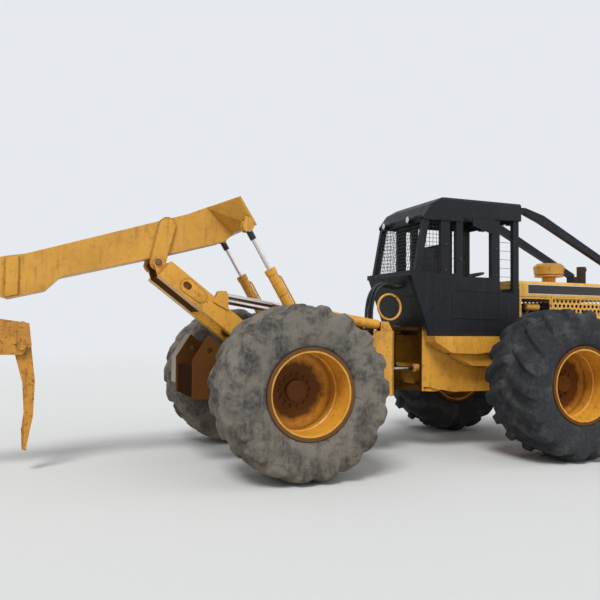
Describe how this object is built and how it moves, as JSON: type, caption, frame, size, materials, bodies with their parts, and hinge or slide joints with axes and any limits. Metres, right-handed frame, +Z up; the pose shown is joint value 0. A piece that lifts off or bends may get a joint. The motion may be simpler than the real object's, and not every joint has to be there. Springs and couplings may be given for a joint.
{
  "type": "articulated grapple skidder",
  "caption": "Articulated four-wheel log skidder with a tilting arch, boom and hanging grapple at the rear, mesh-guarded cab and a front blade.",
  "frame": {"origin": "on the ground under the tyres, at the middle of the whole machine's length and width", "axes": "+X forwards along the machine, +Y to its left, +Z up"},
  "size_m": [9.33, 3.209, 3.075],
  "materials": {
    "yellow_paint": "weathered gloss",
    "rusty_casting": "rusty",
    "yellow_screen": "perforated sheet",
    "black_paint": "satin",
    "seat_vinyl": "matte",
    "black_plastic": "matte",
    "lamp_glass": "clear lens in a dark shell",
    "engine_casting": "oily",
    "hose_rubber": "matte",
    "tyre_rubber": "dusty worn",
    "chrome_rod": "polished, spotted with rust"
  },
  "bodies": {
    "front_body": {"front_frame": "yellow_paint", "side_steps": "yellow_paint", "engine": "engine_casting", "hood": "yellow_paint", "hood_screens": "yellow_screen", "nose_guard": "yellow_paint", "air_intake": "yellow_paint", "exhaust_deflector": "rusty_casting", "cab_shell": "black_paint", "cab_roof": "black_paint", "cab_screens": "black_paint", "seat": "seat_vinyl", "steering_wheel": "black_plastic", "limb_risers": "black_paint", "work_lamps": "lamp_glass"},
    "front_axle_body": {"front_axle": "rusty_casting"},
    "rear_body": {"rear_frame": "yellow_paint", "rear_axle": "rusty_casting", "hoses": "hose_rubber"},
    "rear_left_wheel": {"rear_left_tyre": "tyre_rubber", "rear_left_rim": "yellow_paint"},
    "rear_right_wheel": {"rear_right_tyre": "tyre_rubber", "rear_right_rim": "yellow_paint"},
    "front_left_wheel": {"front_left_tyre": "tyre_rubber", "front_left_rim": "yellow_paint"},
    "front_right_wheel": {"front_right_tyre": "tyre_rubber", "front_right_rim": "yellow_paint"},
    "arch_body": {"arch": "yellow_paint"},
    "boom_body": {"boom": "yellow_paint"},
    "arch_barrels": {"arch_cylinder_barrels": "yellow_paint"},
    "arch_rods": {"arch_cylinder_rods": "chrome_rod"},
    "boom_barrels": {"boom_cylinder_barrels": "yellow_paint"},
    "boom_rods": {"boom_cylinder_rods": "chrome_rod"},
    "link_body": {"boom_link": "rusty_casting"},
    "hanger_body": {"grapple_hanger": "yellow_paint"},
    "head_body": {"grapple_head": "yellow_paint"},
    "rear_tong_body": {"rear_tong": "yellow_paint"},
    "front_tong_body": {"front_tong": "yellow_paint"},
    "tong_barrel": {"tong_cylinder_barrel": "yellow_paint"},
    "tong_rod": {"tong_cylinder_rod": "chrome_rod"},
    "blade_body": {"blade": "yellow_paint"},
    "blade_barrels": {"blade_cylinder_barrels": "yellow_paint"},
    "blade_rods": {"blade_cylinder_rods": "chrome_rod"},
    "left_steer_barrel": {"left_steering_barrel": "yellow_paint"},
    "left_steer_rod": {"left_steering_rod": "chrome_rod"},
    "right_steer_barrel": {"right_steering_barrel": "yellow_paint"},
    "right_steer_rod": {"right_steering_rod": "chrome_rod"}
  },
  "joints": [
    {"name": "articulation", "type": "hinge", "parent": "front_body", "child": "rear_body", "pos_m": [0.845, 0, 1], "axis": [0, 0, 1], "range_deg": [-45, 45], "deforming": ["hoses"]},
    {"name": "front_axle_oscillation", "type": "hinge", "parent": "front_body", "child": "front_axle_body", "pos_m": [2.415, 0, 0.864], "axis": [1, 0, 0], "range_deg": [-15, 15]},
    {"name": "rear_left_wheel_spin", "type": "hinge", "parent": "rear_body", "child": "rear_left_wheel", "pos_m": [-0.885, 1.217, 0.857], "axis": [0, 1, 0], "continuous": true},
    {"name": "rear_right_wheel_spin", "type": "hinge", "parent": "rear_body", "child": "rear_right_wheel", "pos_m": [-0.885, -1.217, 0.857], "axis": [0, 1, 0], "continuous": true},
    {"name": "front_left_wheel_spin", "type": "hinge", "parent": "front_axle_body", "child": "front_left_wheel", "pos_m": [2.415, 1.217, 0.864], "axis": [0, 1, 0], "continuous": true},
    {"name": "front_right_wheel_spin", "type": "hinge", "parent": "front_axle_body", "child": "front_right_wheel", "pos_m": [2.415, -1.217, 0.864], "axis": [0, 1, 0], "continuous": true},
    {"name": "arch_tilt", "type": "hinge", "parent": "rear_body", "child": "arch_body", "pos_m": [-0.835, 0, 1.13], "axis": [0, 1, 0], "range_deg": [-8, 40]},
    {"name": "boom_tilt", "type": "hinge", "parent": "arch_body", "child": "boom_body", "pos_m": [-2.12, 0, 2.158], "axis": [0, 1, 0], "range_deg": [-8, 22]},
    {"name": "arch_cylinder_swing", "type": "hinge", "parent": "rear_body", "child": "arch_barrels", "pos_m": [0.505, 0, 1.51], "axis": [0, 1, 0], "range_deg": [-3.15, 13.77]},
    {"name": "arch_cylinder_stroke", "type": "slide", "parent": "arch_barrels", "child": "arch_rods", "axis": [-0.9877, 0, 0.1562], "range_m": [-0.4914, 0.0999]},
    {"name": "boom_cylinder_swing", "type": "hinge", "parent": "arch_body", "child": "boom_barrels", "pos_m": [-0.505, 0, 1.31], "axis": [0, 1, 0], "range_deg": [-4.71, 2.03]},
    {"name": "boom_cylinder_stroke", "type": "slide", "parent": "boom_barrels", "child": "boom_rods", "axis": [-0.5073, 0, 0.8618], "range_m": [-0.3538, 0.1299]},
    {"name": "link_swing", "type": "hinge", "parent": "boom_body", "child": "link_body", "pos_m": [-3.985, 0, 1.95], "axis": [0, -1, 0], "range_deg": [-35, 18]},
    {"name": "hanger_swing", "type": "hinge", "parent": "link_body", "child": "hanger_body", "pos_m": [-3.985, 0, 1.79], "axis": [1, 0, 0], "range_deg": [-25, 25]},
    {"name": "grapple_rotation", "type": "hinge", "parent": "hanger_body", "child": "head_body", "pos_m": [-3.985, 0, 1.56], "axis": [0, 0, 1], "continuous": true},
    {"name": "front_tong_open", "type": "hinge", "parent": "head_body", "child": "front_tong_body", "pos_m": [-3.435, 0, 1.27], "axis": [0, -1, 0], "range_deg": [-10, 30]},
    {"name": "rear_tong_open", "type": "hinge", "parent": "head_body", "child": "rear_tong_body", "pos_m": [-4.535, 0, 1.27], "axis": [0, -1, 0], "range_deg": [-30, 10]},
    {"name": "tong_cylinder_level", "type": "hinge", "parent": "rear_tong_body", "child": "tong_barrel", "pos_m": [-4.535, 0, 1.47], "axis": [0, -1, 0], "range_deg": [-10, 30]},
    {"name": "tong_cylinder_stroke", "type": "slide", "parent": "tong_barrel", "child": "tong_rod", "axis": [1, 0, 0], "range_m": [-0.2114, 0.0718]},
    {"name": "blade_lift", "type": "hinge", "parent": "front_body", "child": "blade_body", "pos_m": [3.405, 0, 0.9], "axis": [0, 1, 0], "range_deg": [-18, 14]},
    {"name": "blade_cylinder_swing", "type": "hinge", "parent": "front_body", "child": "blade_barrels", "pos_m": [3.555, 0, 1.115], "axis": [0, 1, 0], "range_deg": [-19.69, 15.42]},
    {"name": "blade_cylinder_stroke", "type": "slide", "parent": "blade_barrels", "child": "blade_rods", "axis": [0.9081, 0, -0.4187], "range_m": [-0.0812, 0.0636]},
    {"name": "left_steering_swing", "type": "hinge", "parent": "front_body", "child": "left_steer_barrel", "pos_m": [1.595, 0.2, 1], "axis": [0, 0, 1], "range_deg": [-7, 7]},
    {"name": "left_steering_stroke", "type": "slide", "parent": "left_steer_barrel", "child": "left_steer_rod", "axis": [-1, 0, 0], "range_m": [-0.1528, 0.1528]},
    {"name": "right_steering_swing", "type": "hinge", "parent": "front_body", "child": "right_steer_barrel", "pos_m": [1.595, -0.2, 1], "axis": [0, 0, 1], "range_deg": [-7, 7]},
    {"name": "right_steering_stroke", "type": "slide", "parent": "right_steer_barrel", "child": "right_steer_rod", "axis": [-1, 0, 0], "range_m": [-0.1528, 0.1528]}
  ],
  "couplings": [
    {"joint": "arch_cylinder_swing", "follows": "arch_tilt", "ratio": 0.33168},
    {"joint": "arch_cylinder_stroke", "follows": "arch_tilt", "m_per_rad": -0.70103},
    {"joint": "boom_cylinder_swing", "follows": "boom_tilt", "ratio": -0.19145},
    {"joint": "boom_cylinder_stroke", "follows": "boom_tilt", "m_per_rad": -0.91624},
    {"joint": "rear_tong_open", "follows": "front_tong_open", "ratio": -1},
    {"joint": "tong_cylinder_level", "follows": "front_tong_open", "ratio": 1},
    {"joint": "tong_cylinder_stroke", "follows": "front_tong_open", "m_per_rad": -0.4},
    {"joint": "blade_cylinder_swing", "follows": "blade_lift", "ratio": 1.0659},
    {"joint": "blade_cylinder_stroke", "follows": "blade_lift", "m_per_rad": 0.25199},
    {"joint": "left_steering_swing", "follows": "articulation", "ratio": 0.14445},
    {"joint": "left_steering_stroke", "follows": "articulation", "m_per_rad": 0.19199},
    {"joint": "right_steering_swing", "follows": "articulation", "ratio": 0.14445},
    {"joint": "right_steering_stroke", "follows": "articulation", "m_per_rad": -0.19199}
  ]
}
